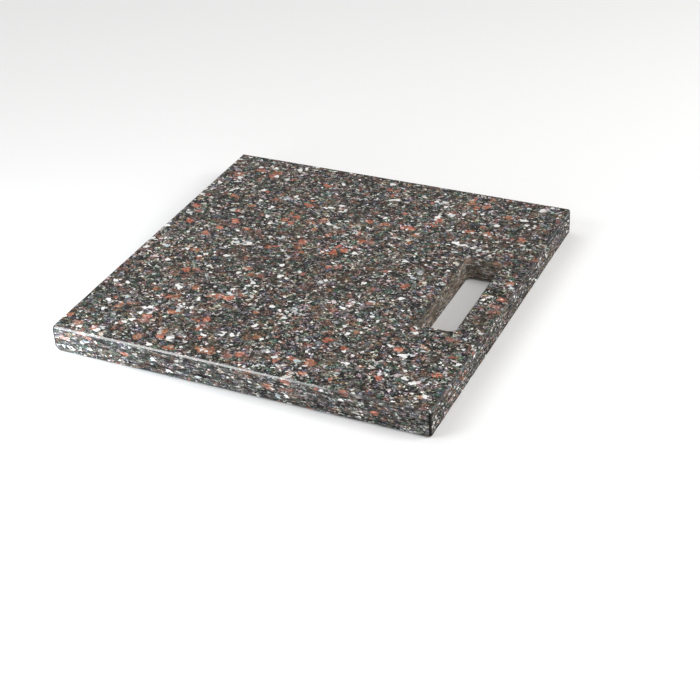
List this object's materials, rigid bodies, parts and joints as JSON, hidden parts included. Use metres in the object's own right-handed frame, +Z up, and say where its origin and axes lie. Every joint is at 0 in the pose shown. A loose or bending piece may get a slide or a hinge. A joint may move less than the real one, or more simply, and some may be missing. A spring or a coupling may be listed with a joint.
{
  "type": "granite slab",
  "caption": "Square slab of speckled granite with a rounded hand hole cut through near one side; a hard, flat, heavy base for stamping, tooling and setting leather.",
  "frame": {"origin": "centre of the underside, on the surface that the slab rests on", "axes": "+X towards the side with the hand hole, +Y to the back, +Z up out of the work face"},
  "size_m": [0.305, 0.305, 0.022],
  "materials": {
    "speckled_granite": "honed dark granite, fine grey-brown grain with white flakes and orange-red grains"
  },
  "bodies": {
    "root": {"granite_slab": "speckled_granite"}
  },
  "joints": []
}
